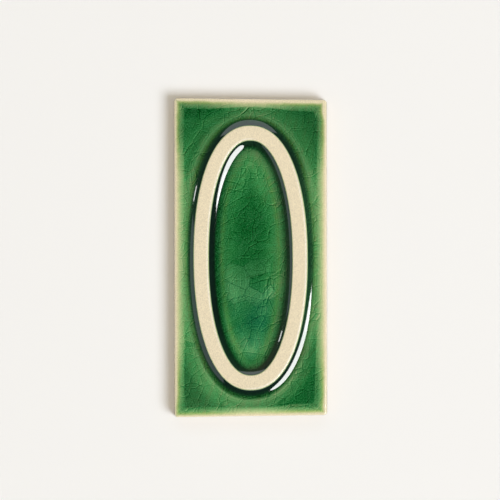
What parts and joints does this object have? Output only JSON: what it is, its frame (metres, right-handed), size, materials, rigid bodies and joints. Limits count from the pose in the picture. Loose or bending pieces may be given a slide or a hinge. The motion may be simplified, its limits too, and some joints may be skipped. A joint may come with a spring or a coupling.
{
  "type": "house number plaque",
  "caption": "Upright rectangular glazed ceramic plaque with a raised oval numeral 0, flat at the back for fixing to a wall.",
  "frame": {"origin": "middle of the flat back face", "axes": "+Z out of the glazed face, +Y towards the top of the numeral, +X to the reader's right"},
  "size_m": [0.073, 0.1524, 0.0094],
  "materials": {
    "glazed_clay": "glossy green glaze, pooled and crazed, over matt cream clay that is bare on the numeral and the edges"
  },
  "bodies": {
    "root": {"plaque": "glazed_clay"}
  },
  "joints": []
}
